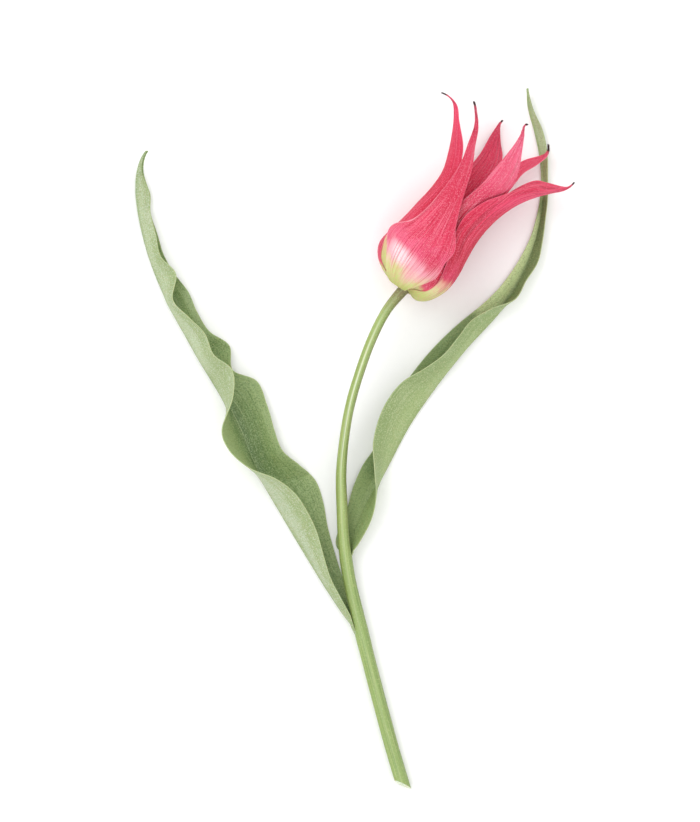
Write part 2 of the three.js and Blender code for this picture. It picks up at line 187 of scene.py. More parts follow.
def finish_with(tree, colour, height, depth):
    """Links the colour, and a bump of the given depth in millimetres, to the shader."""
    shader = tree.nodes["Principled BSDF"]
    bump = add(tree, "Bump", {"Height": height, "Strength": 1.0, "Distance": depth * MM})
    tree.links.new(colour, shader.inputs["Base Color"])
    tree.links.new(bump.outputs[0], shader.inputs["Normal"])


def own_map(tree):
    """The piece's own map: U across it and V along it."""
    return add(tree, "UVMap", uv_map="UVMap").outputs[0]


def split(tree, vector):
    """The first two numbers of a vector."""
    node = add(tree, "SeparateXYZ", {0: vector})
    return node.outputs[0], node.outputs[1]


def grain(tree, source, scale, detail=3.0, roughness=0.55, place=(0, 0, 0)):
    """Noise from 0 to 1 on the source stretched by scale in each direction."""
    moved = add(tree, "Mapping", {"Vector": source, "Scale": scale, "Location": place})
    wave = {"Vector": moved.outputs[0], "Scale": 1.0, "Detail": detail, "Roughness": roughness}
    return add(tree, "TexNoise", wave).outputs[0]


def between(tree, value, low, high, to_low=0.0, to_high=1.0):
    """value taken smoothly from the range low to high over to the range to_low to to_high."""
    span = {"Value": value, "From Min": low, "From Max": high, "To Min": to_low, "To Max": to_high}
    return add(tree, "MapRange", span, interpolation_type="SMOOTHSTEP").outputs[0]


def maths(tree, operation, first, second=0.0):
    """One sum on shader values, such as ADD or MULTIPLY."""
    return add(tree, "Math", {0: first, 1: second}, operation=operation).outputs[0]


def away_from(tree, value, place):
    """How far the value is from a place, on either side of it."""
    return maths(tree, "ABSOLUTE", maths(tree, "SUBTRACT", value, place))


def blended(tree, share, first, second, kind="MIX"):
    """The first colour with a share of the second mixed in."""
    first, second = (paint(c) if isinstance(c, str) else c for c in (first, second))
    node = add(tree, "Mix", {0: share, 6: first, 7: second}, data_type="RGBA", blend_type=kind)
    return node.outputs[2]


def along_colours(tree, value, stops):
    """A colour that changes with the value, through stops of place and colour."""
    node = add(tree, "ValToRGB", {0: value})
    scale = node.color_ramp
    scale.interpolation = "EASE"
    while len(scale.elements) < len(stops):
        scale.elements.new(1.0)
    for element, (place, code) in zip(scale.elements, stops):
        element.position = place
        element.color = paint(code)
    return node.outputs[0]


skin, tree = new_finish("stem_skin", 0.5, 0.1)
across, along = split(tree, own_map(tree))
object_place = add(tree, "TexCoord").outputs["Object"]
STEM_GREENS_AND_SHADE = [  # place round it from its underside, and colour: its own green, with painted shade darkening its sides and underside
    (0.0, "758847"), (0.24, "7F9146"), (0.3, "95A653"), (0.4, "93A75B"), (0.47, "A0B270"),
    (0.52, "9BAE68"), (0.62, "7F924C"), (0.72, "76834C"), (1.0, "758847"),
]
skin_colour = along_colours(tree, across, STEM_GREENS_AND_SHADE)
# A pale line along the top of the stem's upper part is a painted highlight.
highlight_stripe = between(tree, away_from(tree, across, 0.485), 0.042, 0.01)
highlight_stripe = maths(tree, "MULTIPLY", highlight_stripe, between(tree, along, 0.78, 0.9, 1, 0.2))
highlight_stripe = maths(tree, "MULTIPLY", highlight_stripe, between(tree, along, 0.52, 0.68, 0.15, 0.95))
skin_colour = blended(tree, highlight_stripe, skin_colour, "D1D8B9")
skin_colour = blended(tree, between(tree, along, 0.5, 0.3, 0, 0.45), skin_colour, "789452")
threads = grain(tree, own_map(tree), (46, 7, 1), detail=4)
skin_colour = blended(tree, between(tree, threads, 0.5, 0.72, 0, 0.5), skin_colour, "C5CF97")
skin_colour = blended(tree, between(tree, threads, 0.5, 0.3, 0, 0.55), skin_colour, "5F783A")
blush_side = between(tree, across, 0.62, 0.75)
blush_height = between(tree, along, 0.3, 0.75, 0, 0.4)
blush = maths(tree, "MULTIPLY", blush_side, blush_height)
neck = between(tree, along, 0.875, 0.95, 0, 0.85)
neck = maths(tree, "MULTIPLY", neck, between(tree, threads, 0.35, 0.6, 0.45, 1.0))
tinge = maths(tree, "MAXIMUM", blush, neck)
skin_colour = blended(tree, tinge, skin_colour, "755640")
freckles = grain(tree, object_place, (1500, 1500, 1500), detail=2)
skin_colour = blended(tree, between(tree, freckles, 0.53, 0.7, 0, 0.4), skin_colour, "B9C78B")
finish_with(tree, skin_colour, threads, 0.12)

cut_flesh, tree = new_finish("stem_cut_flesh", 0.42, 0.2)
object_place = add(tree, "TexCoord").outputs["Object"]
bundles = add(tree, "TexVoronoi", {"Vector": object_place, "Scale": 1300.0}).outputs["Distance"]
flesh = blended(tree, between(tree, bundles, 0.1, 0.5, 0.7, 0), "DADFC5", "B0BC85")
finish_with(tree, flesh, bundles, 0.1)

stem = closed_tube("flower_stem", STEM_SIDES, STEM_ROWS, stem_ring)
stem.data.materials.append(skin)
stem.data.materials.append(cut_flesh)
bpy.ops.object.mode_set(mode="EDIT")
bpy.context.tool_settings.mesh_select_mode = (False, False, True)
bpy.ops.mesh.select_all(action="DESELECT")
bpy.ops.object.mode_set(mode="OBJECT")
for face in stem.data.polygons:
    face.select = len(face.vertices) > 4 and face.center.y < STEM[2][1] * MM
bpy.ops.object.mode_set(mode="EDIT")
bpy.ops.mesh.inset(thickness=CUT_RIM * MM, depth=0)
stem.active_material_index = 1
bpy.ops.object.material_slot_assign()
for step_in, dip in CUT_HOLLOW:
    bpy.ops.mesh.inset(thickness=step_in * MM, depth=dip * MM)
bpy.ops.object.mode_set(mode="OBJECT")
stem.select_set(False)
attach(stem, "root")
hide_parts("stem")

# Leaves: two long channelled blades, folded along the keel and waved along the margins. Each grows
# from the stem and clasps it. The inner face is deep green, the outer face pale with a waxy bloom.
LEAF_THICKNESS = 0.8
LEAF_CLEARANCE = 0.7  # between a leaf's blade and the stem
LEAF_COLUMNS = 96
LEAF_ROWS = 230
MARGIN_SHARE = 0.35  # of a sheet's thickness that is left at its margins
TIP_SHARE = 0.6  # of a leaf's that is left at its tip
BASE_SHARE = 0.25  # and at its base
LEAF_THINNING = 3.5  # the higher, the nearer its margins a leaf thins out
LEAST_SHARE = 0.05  # below which no sheet thins
LEAST_HEIGHT = 0.55  # of its thickness, from the surface to a sheet's middle
SHEET_CREASE = 60  # degrees past which an edge stays sharp
KEEL_SHARPNESS = 1.5
HOOK_START = 0.93  # where the tip starts to bend aside
CLASP_GRIP = 0.62  # how far the very base sinks from resting on the stem's skin
CLASP_REACH = 2  # past that clearance, where the stem no longer keeps the blade off
VEINS = 15  # on each half of a leaf
VEIN_HEIGHT = 0.035
PLEAT_HEIGHT = 0.1
# A leaf's keel is given in x, y and z, from its base to its tip. Near and far are how far its upper
# and its lower margin lie to the right of the keel, seen from above, and width is each half's. Lift
# is how much the lower half rises, hook how far the tip bends aside, and clasp the share of the
# leaf that clasps the stem.
LOWER_LEAF = {
    "keel": [
        [1.2, -88.6, 3.6],
        [-10.0, -71.7, 2.6],
        [-22.0, -52.7, 1.6],
        [-33.4, -33.4, 1.0],
        [-44.2, -14.0, 1.2],
        [-53.0, 7.1, 2.2],
        [-64.6, 26.2, 3.0],
        [-75.9, 45.7, 2.6],
        [-86.3, 65.6, 1.6],
        [-94.1, 86.6, 1.2],
        [-98.4, 108.6, 2.4],
        [-98.0, 129.6, 4.6],
    ],
    "near": [
        0, 2, 3, 4, 6.8, 9.6, 10.6, 9.8, 5.5, -3.2, -8.3, -7.1, 4.6, 10.4, 6.8, 8, 5.2, 2.6,
        8.6, 5, 5.6, 5.3, 6.2, 1.6, 0.4,
    ],
    "far": [
        0.3, 4, 7, 9.4, 12.2, 15.2, 18.9, 20.8, 18, 14.2, 14, 15.6, 17.1, 10.6, 14.9, 10.3,
        9.7, 10.4, 8.2, 6.5, 6.4, 5.4, 6, 2.4, 1,
    ],
    "width": [2.2, 5.5, 9, 13, 17, 20, 21.5, 21.5, 20, 18, 16, 13.5, 11, 8.5, 6, 3, 0.5],
    "lift": 0.3,
    "hook": 4,
    "clasp": 0.06,
}
UPPER_LEAF = {
    "keel": [
        [-4.5, -52.9, 2.2],
        [3.6, -32.6, 1.8],
        [14.1, -13.5, 1.2],
        [24.3, 5.8, 1.0],
        [36.7, 23.8, 1.6],
        [50.3, 40.9, 2.2],
        [64.9, 57.0, 1.6],
        [76.2, 74.4, 1.0],
        [82.9, 94.0, 0.9],
        [85.2, 115.3, 0.8],
        [82.6, 136.7, 1.6],
        [77.0, 157.5, 4.0],
    ],
    "near": [
        1.5, 4, 5, 2.4, -4, -10, -13, -14.3, -13.3, -9, -6, -6, -6.7, -3.5, 2.4, 2.3, 3.6, 2.7,
        1.9, 1.8, 1.7, 2.6, 2.3, 0.1, 0.6,
    ],
    "far": [
        -5.2, -6.9, -7, -9, -10, -9, -10, -11, -12, -12, -11.5, -10.5, -9.3, -7.8, -6.4, -5.5,
        -4.3, -3, -2.2, -1.6, -1.2, -1.1, -1.5, -1.6, 0.1,
    ],
    "width": [4.5, 7.5, 11.5, 14.5, 16, 16, 14.5, 13, 11.5, 9.5, 6.8, 5.2, 3.6, 2.8, 3, 2.4, 0.7],
    "lift": 0.25,
    "hook": 0.5,
    "clasp": 0.03,
}
stem_samples = [stem_frame(k / 240) for k in range(241)]
stem_tree = KDTree(len(stem_samples))
for index, sample in enumerate(stem_samples):
    stem_tree.insert(sample[0], index)
stem_tree.balance()


def clear_of_stem(point, clasp):
    """The point, moved off the stem if it is too near, and drawn on to it by the share clasp."""
    _, index, distance = stem_tree.find(point)
    centre, radius, _, _, along = stem_samples[index]
    least = radius + LEAF_CLEARANCE + LEAF_THICKNESS / 2
    away = point - centre
    away -= along * away.dot(along)
    short = least - away.length
    if short > 0 and distance <= least + CLASP_REACH:
        point = point + away.normalized() * short
        away = away.normalized() * least
    grip = least - LEAF_CLEARANCE - CLASP_GRIP
    return point + away.normalized() * (grip - away.length) * clasp


def leaf_section(leaf, t):
    """The keel, the upper half's edge and the lower half's edge of a leaf at t."""
    keel = Vector(flow(leaf["keel"], t))
    after = flow(leaf["keel"], min(t + TRACE_STEP, 1))
    before = flow(leaf["keel"], max(t - TRACE_STEP, 0))
    right = Vector((after[1] - before[1], before[0] - after[0], 0)).normalized()
    near, far, width = (flow([[n] for n in leaf[k]], t)[0] for k in ("near", "far", "width"))
    keel += right * (leaf["hook"] * max((t - HOOK_START) / (1 - HOOK_START), 0) ** 2)
    near_edge = keel + right * near
    near_edge.z = keel.z + math.sqrt(max(width ** 2 - near ** 2, 0))
    far_edge = keel + right * far
    floor_height = LEAF_THICKNESS / 2 + leaf["lift"] * math.sqrt(max(width ** 2 - far ** 2, 0))
    tip_height = 0 if t < 0.5 else keel.z - width  # the narrow tip is held off the surface
    far_edge.z = max(floor_height, tip_height)
    return keel, near_edge, far_edge


def share_left(edge, thinning):
    """The share of a sheet's thickness that is left at a distance from its margin."""
    return MARGIN_SHARE + (1 - MARGIN_SHARE) * min(edge * thinning, 1) ** 0.7


def raise_skin(sheet, moves, thickness):
    """Gives the sheet's skin its low relief, and keeps its underside off the surface."""
    for vertex, move in zip(sheet.data.vertices, moves):
        vertex.co = vertex.co + move
        vertex.co.z = max(vertex.co.z, thickness * LEAST_HEIGHT * MM)


def leaf_blade(name, leaf):
    """A leaf's blade with its veins raised, thick at the keel and thin at its margins."""
    sections = {}

    def place(u, t):
        key = round(t * LEAF_ROWS)
        if key not in sections:
            sections[key] = leaf_section(leaf, t)
        keel, near_edge, far_edge = sections[key]
        middle = (near_edge + far_edge) / 2
        fold = 1 - abs(u) ** KEEL_SHARPNESS
        point = middle + (far_edge - near_edge) * (u / 2) + (keel - middle) * fold
        point.z = max(point.z, LEAF_THICKNESS / 2)
        return clear_of_stem(point, max(1 - t / leaf["clasp"], 0) ** 2)

    blade, flat = shaped_grid(name, LEAF_COLUMNS, LEAF_ROWS, place)
    tissue = blade.vertex_groups.new(name="tissue")
    moves = []
    for vertex, (u, t) in zip(blade.data.vertices, flat):
        edge = 1 - abs(u)
        veins = VEIN_HEIGHT * math.cos(2 * math.pi * VEINS * u) * min(edge * 8, 1)
        pleats = PLEAT_HEIGHT * noise.noise(Vector((u * 9, t * 5, 1))) * min(edge * 5, 1)
        moves.append(vertex.normal * (veins + pleats) * MM)
        at_tip = TIP_SHARE + (1 - TIP_SHARE) * min((1 - t) * 9, 1)
        at_base = BASE_SHARE + (1 - BASE_SHARE) * min(t / leaf["clasp"], 1)
        thick = share_left(edge, LEAF_THINNING) * (at_tip * at_base)
        tissue.add([vertex.index], thick, "REPLACE")
    raise_skin(blade, moves, LEAF_THICKNESS)
    return blade


def thickened(piece, thickness):
    """The sheet made a closed wall: its own side in the first finish, the other in the second."""
    wall = piece.modifiers.new("wall", "SOLIDIFY")
    wall.thickness = thickness * MM
    wall.offset = 0
    wall.vertex_group = "tissue"
    wall.thickness_vertex_group = LEAST_SHARE
    wall.use_rim = True
    wall.material_offset = 1
    bpy.ops.object.modifier_apply(modifier=wall.name)
    bpy.ops.object.shade_smooth_by_angle(angle=math.radians(SHEET_CREASE))
    piece.select_set(False)


def leaf_finish(name, middle, side, edge, pale, bands, shine):
    """One face of a leaf: colours from its keel to its margins, darker at the keel as painted
    shade, fine veins, and bands.

    A band has a place across, a spread, a start and an end along, a share and a colour.
    """
    finish, tree = new_finish(name, shine, 0.08)
    face = own_map(tree)
    across, along = split(tree, face)
    from_keel = away_from(tree, across, 0.5)
    # Painted shade: each face is darkest along the keel and lighter towards its margins.
    colour = along_colours(tree, from_keel, [(0, middle), (0.2, side), (0.5, edge)])
    clouds = grain(tree, face, (3.5, 9, 1), detail=2)
    colour = blended(tree, between(tree, clouds, 0.48, 0.75, 0, 0.5), colour, pale)
    colour = blended(tree, between(tree, clouds, 0.48, 0.25, 0, 0.5), colour, middle)
    threads = grain(tree, face, (64, 5, 1), detail=4, roughness=0.65)
    colour = blended(tree, between(tree, threads, 0.52, 0.7, 0, 0.6), colour, pale)
    colour = blended(tree, between(tree, threads, 0.48, 0.32, 0, 0.55), colour, middle)
    for place, spread, start, end, share, tint in bands:
        strip = between(tree, away_from(tree, across, place), spread, spread * 0.3)
        run_in = between(tree, along, start, start + 0.03)
        run_out = between(tree, along, end, end - 0.03)
        strip = maths(tree, "MULTIPLY", strip, maths(tree, "MULTIPLY", run_in, run_out))
        colour = blended(tree, maths(tree, "MULTIPLY", strip, share), colour, tint)
    object_place = add(tree, "TexCoord").outputs["Object"]
    stipple = grain(tree, object_place, (1800, 1800, 1800), detail=2)
    colour = blended(tree, between(tree, stipple, 0.51, 0.65, 0, 0.7), colour, pale)
    colour = blended(tree, between(tree, stipple, 0.49, 0.35, 0, 0.55), colour, middle)
    margin = between(tree, from_keel, 0.49, 0.499, 0, 0.6)
    colour = blended(tree, margin, colour, "B9C494")
    rib = between(tree, from_keel, 0.007, 0.002, 0, 0.55)
    colour = blended(tree, rib, colour, "BAC798")
    finish_with(tree, colour, threads, 0.1)
    return finish


lower_inner = leaf_finish(
    "lower_leaf_inner_face", "516B3B", "7B9259", "8EA366", "A0B17F",
    [(0.98, 0.1, 0.35, 0.47, 0.75, "A0B37E"), (0.97, 0.12, 0.6, 0.73, 0.85, "A0B180"),
     (0.16, 0.2, 0.32, 0.5, 0.7, "94A56A")], 0.55,
)
# The outer face's two pale bands along the middle of the near half are painted highlights.
lower_outer = leaf_finish(
    "lower_leaf_outer_face", "849765", "99A878", "91A26C", "BEC5AD",
    [(0.26, 0.13, 0.1, 0.5, 0.4, "BCC5AF"), (0.3, 0.2, 0.55, 0.95, 0.45, "B4C09D")], 0.62,
)
# On the inner face, the two pale bands on the far half are painted light, and the dark band on the
# near half is painted shade.
upper_inner = leaf_finish(
    "upper_leaf_inner_face", "5A7141", "6C834D", "7E945B", "8FA36E",
    [(0.92, 0.3, 0.5, 0.77, 1, "CBDB9E"), (0.74, 0.2, 0.5, 0.77, 0.65, "B9CB8D"),
     (0.2, 0.34, 0.5, 0.8, 0.5, "66804C"), (0.5, 1.2, 0.78, 1.2, 0.75, "B2C48C"),
     (0.3, 0.5, 0.86, 0.97, 0.6, "C3D0A7"), (0.5, 1.2, -0.1, 0.17, 0.55, "93A666")], 0.55,
)
upper_outer = leaf_finish(
    "upper_leaf_outer_face", "7F9357", "8B9D64", "7F935C", "ADB88D",
    [(0.34, 0.16, 0.14, 0.5, 0.5, "9CAE75")], 0.62,
)
lower_leaf = leaf_blade("lower_leaf_blade", LOWER_LEAF)
lower_leaf.data.materials.append(lower_inner)
lower_leaf.data.materials.append(lower_outer)
thickened(lower_leaf, LEAF_THICKNESS)
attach(lower_leaf, "root")
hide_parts("leaf_lower")
upper_leaf = leaf_blade("upper_leaf_blade", UPPER_LEAF)
upper_leaf.data.materials.append(upper_outer)
upper_leaf.data.materials.append(upper_inner)
thickened(upper_leaf, LEAF_THICKNESS)
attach(upper_leaf, "root")
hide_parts("leaf_upper")

# Petals: three outer and three inner, each a thin fleshy strip of the bloom's round wall with fine
# lengthwise flutes. They grow from the receptacle, green at the foot and rose above, and each
# narrows to a dry dark thread.
PETAL_THICKNESS = 0.7
PETAL_COLUMNS = 64
PETAL_ROWS = 150
PETAL_THINNING = 4
THREAD_START = 0.88  # where a petal starts to narrow to its thread
THREAD_FILLING = 12  # how soon its whole width is as thick as its middle there
FLUTES = 11
FLUTE_HEIGHT = 0.06
FLUTE_WANDER = 1.2
FOLD_HEIGHT = 0.12
FIBRE_ROWS = (-2, -1, -1, 0, 0, 0, 1, 1, 2)  # neighbours that smooth an outline for the fibres
FIBRE_REACH = 1.6  # how far out a fibre lies, where the smoothed margin is 1
# A row has a height, a radius, the left and right margins' angles in degrees, how far each of them
# stands out, and how far each runs ahead. What a row leaves out is 0.
PETALS = {
    "outer_front": [
        [0.9, 3.4, -78, 14],
        [0.4, 9.0, -60, 7],
        [4.6, 15.3, -54, 16],
        [12.0, 19.2, -62, 28],
        [20.0, 20.2, -83, 26, 0.6],
        [27.5, 19.1, -52, 29],
        [36.0, 17.5, -43, 13],
        [45.0, 16.3, -42, 1.5],
        [54.0, 16.3, -40.5, -9, -0.3, -0.3],
        [62.5, 18.1, -38.2, -17, -0.5, -0.5],
        [71.0, 21.2, -38.8, -27, -0.6, -0.6],
        [79.0, 24.6, -38.4, -32.6, -0.4, -0.4],
        [85.0, 27.8, -43.4, -41],
        [87.5, 30.2, -45.6, -44.2],
    ],
    "outer_right": [
        [0.9, 3.4, 20, 130, 0, 0, 0.4, 0],
        [0.2, 8.2, 22, 140, 1.5, 0, 2.5, 0],
        [3.8, 12.8, 46, 143, -0.7, 0, 1.5, 0],
        [11.0, 16.1, 48, 143, -1.4, 0],
        [19.0, 16.6, 37, 143, -0.5, 0],
        [27.0, 15.8, 28, 141],
        [35.5, 15.1, 18, 138],
        [44.0, 15.7, 17, 134, -0.3, -0.3],
        [52.5, 17.5, 33, 128, -3.0, -1.6, 0.8, 0.8],
        [60.5, 20.7, 60, 121, -3.6, -3.0, 2.4, 3.4],
        [67.2, 24.9, 72, 115, -1.8, -2.0, 4.4, 6.4],
        [72.8, 29.6, 76, 107, -1.4, -2.0, 2.4, 3.7],
        [77.3, 34.0, 85, 97, -0.5, -0.6, 1.2, 1.6],
        [80.4, 35.8, 87.8, 92.2, -0.2, -0.2, 0.3, 0.3],
        [83.4, 36.4, 89.4, 90.7],
    ],
    "outer_back": [
        [0.8, 3.4, -203, -102],
        [0.5, 9.4, -210, -88, -0.8, 0, 0, 1.5],
        [4.6, 16.9, -213, -80, -4.0, -0.9, 0, 1.2],
        [11.6, 21.1, -214, -78, -5.0, -1.65],
        [19.5, 20.5, -213, -92, -2.6, -0.75],
        [27.5, 18.8, -211, -106, 0, -0.3],
        [36.0, 17.0, -209, -114, 0, 0.3],
        [45.0, 15.8, -207, -122],
        [54.0, 15.7, -204, -142],
        [62.5, 16.8, -200, -156],
        [69.5, 17.9, -195.5, -160.5],
        [75.0, 18.3, -190, -160],
        [80.0, 18.4, -176, -158.6],
        [86.0, 18.2, -162.3, -158.6],
        [88.6, 18.2, -161.8, -159.6],
    ],
    "inner_front": [
        [2.6, 3.4, 0, 60],
        [2.7, 8.4, -16, 68],
        [6.8, 12.8, -22, 75, 1.0, 0],
        [13.6, 15.0, -23, 77, 2.0, -0.6],
        [21.0, 15.4, -22, 76, 2.0, -0.8],
        [29.0, 13.9, -18, 74, 1.4, -0.6],
        [37.0, 13.3, -12, 70, 0.8, -0.4],
        [45.0, 13.2, -6, 66, 0.3, -0.3],
        [53.0, 13.0, 4, 63],
        [60.0, 14.4, 11, 64, -1.0, 0.2],
        [67.5, 16.2, 13, 56, -1.4, 0.8],
        [74.5, 17.4, 14, 43, -1.0, 0.6],
        [81.0, 18.2, 14.5, 30, -0.6, 0.3],
        [87.0, 18.8, 13, 19.4],
        [91.0, 19.2, 9.5, 11.7],
        [92.8, 19.5, 11.6, 13.8],
    ],
    "inner_left": [
        [2.6, 3.4, -119, -60],
        [2.7, 9.2, -135, -48],
        [6.8, 16.6, -142, -44, -1.2, -2.4],
        [13.6, 19.8, -141, -43, -1.8, -3.6],
        [21.2, 19.0, -136, -43, -0.6, -0.8],
        [29.0, 17.6, -128, -42, -0.6],
        [37.0, 16.4, -118, -41, -1.5, -1.4],
        [45.0, 15.3, -108, -40, -1.2, -1.6],
        [54.0, 15.2, -98, -39, -0.6, -1.8],
        [62.0, 17.4, -93, -41, 0, -1.0],
        [69.5, 21.2, -87, -46, -0.6, -0.4],
        [77.0, 25.2, -84, -64, -0.6, -0.6],
        [82.0, 28.8, -86, -70, -0.4, -0.4],
        [83.4, 32.2, -88, -84],
        [83.0, 35.8, -90.6, -89.2],
    ],
    "inner_back": [
        [2.6, 3.4, 115, 180],
        [2.7, 8.4, 104, 190],
        [6.8, 12.8, 99, 196, 0, 1.0],
        [13.6, 15.0, 97, 197, -0.6, 2.0],
        [21.0, 15.4, 98, 196, -0.8, 2.0],
        [29.0, 13.9, 100, 194, -0.6, 1.4],
        [37.0, 13.3, 102, 190, -0.4, 0.8],
        [45.0, 13.3, 105, 184, -0.3, 0.3],
        [53.0, 13.8, 108, 176],
        [60.0, 15.0, 112, 166],
        [67.5, 17.2, 122, 155],
        [74.0, 19.0, 127, 150],
        [80.0, 20.8, 121, 142],
        [85.5, 22.8, 121, 130],
        [88.5, 23.0, 124, 127],
        [91.1, 22.0, 128, 130],
    ],
}


def petal_strip(name, rows):
    """A petal with its flutes raised, thin at its margins and full at its thread.

    Its fibres follow smoother outlines than its margins do, and have a map of their own.
    """
    rows = [row + [0] * (8 - len(row)) for row in rows]
    last = len(rows) - 1
    calm_rows = []
    for index in range(len(rows)):
        around = [rows[min(max(index + k, 0), last)] for k in FIBRE_ROWS]
        calm_rows.append([sum(row[side] for row in around) / len(around) for side in (2, 3)])

    def fibre(u, t):
        """Where a point lies across the fibres, as u lies across the petal."""
        _, _, left, right = flow(rows, t)[:4]
        calm_left, calm_right = flow(calm_rows, t)
        degrees = (left + right) / 2 + (right - left) / 2 * u
        half = max((calm_right - calm_left) / 2, 0.5)
        lane = (degrees - (calm_left + calm_right) / 2) / half
        return max(min(lane, FIBRE_REACH), -FIBRE_REACH)

    def place(u, t):
        height, radius, left, right, out_left, out_right, ahead_left, ahead_right = flow(rows, t)

        def bent(at_left, at_right):
            """Nothing at the middle, and all of its value at each margin."""
            return ((at_right - at_left) * u + (at_right + at_left) * u * u) / 2

        degrees = (left + right) / 2 + (right - left) / 2 * u
        point = in_bloom(
            height + bent(ahead_left, ahead_right), radius + bent(out_left, out_right), degrees
        )
        point.z = max(point.z, PETAL_THICKNESS / 2)
        return point

    strip, flat = shaped_grid(name, PETAL_COLUMNS, PETAL_ROWS, place)
    fibres = [fibre(u, t) for u, t in flat]
    fibre_map = strip.data.uv_layers.new(name="fibres")
    for loop in strip.data.loops:
        lane, t = fibres[loop.vertex_index], flat[loop.vertex_index][1]
        fibre_map.data[loop.index].uv = (0.5 + lane / 2, t)
    strip.data.uv_layers.active_index = 0
    tissue = strip.vertex_groups.new(name="tissue")
    moves = []
    for vertex, (u, t), lane in zip(strip.data.vertices, flat, fibres):
        edge = 1 - abs(u)
        calm = min(edge * 6, 1) * min(t * 5, 1) * min((1 - t) * 6, 1)
        wander = FLUTE_WANDER * noise.noise(Vector((lane * 2, t * 3, 5)))
        flutes = FLUTE_HEIGHT * math.cos(2 * math.pi * FLUTES * lane + wander)
        folds = FOLD_HEIGHT * noise.noise(Vector((lane * 7, t * 2.5, 3)))
        moves.append(vertex.normal * (flutes + folds) * calm * MM)
        thick = share_left(edge, PETAL_THINNING)
        thread = min(max((t - THREAD_START) * THREAD_FILLING, 0), 1)
        tissue.add([vertex.index], thick + (1 - thick) * thread, "REPLACE")
    raise_skin(strip, moves, PETAL_THICKNESS)
    return strip


def petal_finish(name, stops, vein, light, spots, tip):
    """One face of a petal: colours from foot to tip, fine streaks along it, and soft spots, which
    on the front petal include a painted highlight and painted shade.

    A spot has a place across and along, a width, a height, a colour and a share.
    """
    finish, tree = new_finish(name, 0.6, 0.05, Specular_IOR_Level=0.3)
    face = own_map(tree)
    fibres = add(tree, "UVMap", uv_map="fibres").outputs[0]
    across, along = split(tree, face)
    wander = grain(tree, face, (5, 4, 1), detail=2)
    height = maths(tree, "ADD", along, between(tree, wander, 0.2, 0.8, -0.035, 0.035))
    colour = along_colours(tree, height, stops)
    for place, at, wide, tall, tint, share in spots:
        moved = {"Vector": face, "Scale": (1 / wide, 1 / tall, 0),
                 "Location": (-place / wide, -at / tall, 0)}
        ball = add(tree, "TexGradient", {0: add(tree, "Mapping", moved).outputs[0]},
                   gradient_type="SPHERICAL").outputs[1]
        colour = blended(tree, between(tree, ball, 0, 0.8, 0, share), colour, tint)
    above_foot = between(tree, along, 0.1, 0.3, 0.15, 1)
    bundles = grain(tree, fibres, (15, 1.6, 1), detail=3, roughness=0.6)
    dark = maths(tree, "MULTIPLY", between(tree, bundles, 0.5, 0.3, 0, 0.6), above_foot)
    colour = blended(tree, dark, colour, vein)
    threads = grain(tree, fibres, (52, 3.2, 1), detail=3, roughness=0.6, place=(3, 1, 0))
    dark = maths(tree, "MULTIPLY", between(tree, threads, 0.52, 0.36, 0, 0.9), above_foot)
    colour = blended(tree, dark, colour, vein)
    fine = grain(tree, fibres, (96, 3.5, 1), detail=3, roughness=0.6, place=(7, 2, 0))
    pale = maths(tree, "MULTIPLY", between(tree, fine, 0.51, 0.66, 0, 0.6), above_foot)
    colour = blended(tree, pale, colour, light)
    object_place = add(tree, "TexCoord").outputs["Object"]
    stipple = grain(tree, object_place, (1900, 1900, 1900), detail=1)
    colour = blended(tree, between(tree, stipple, 0.52, 0.68, 0, 0.45), colour, light)
    margin = between(tree, away_from(tree, across, 0.5), 0.48, 0.497, 0, 0.35)
    colour = blended(tree, margin, colour, light)
    colour = blended(tree, between(tree, along, tip, tip + 0.025), colour, "2B1014")
    finish_with(tree, colour, threads, 0.07)
    return finish


INNER_FACE = [
    (0.0, "CACF85"), (0.12, "D2CB92"), (0.2, "D38379"), (0.28, "D53153"), (0.5, "DA3155"),
    (0.8, "DF4063"), (1.0, "C52946"),
]
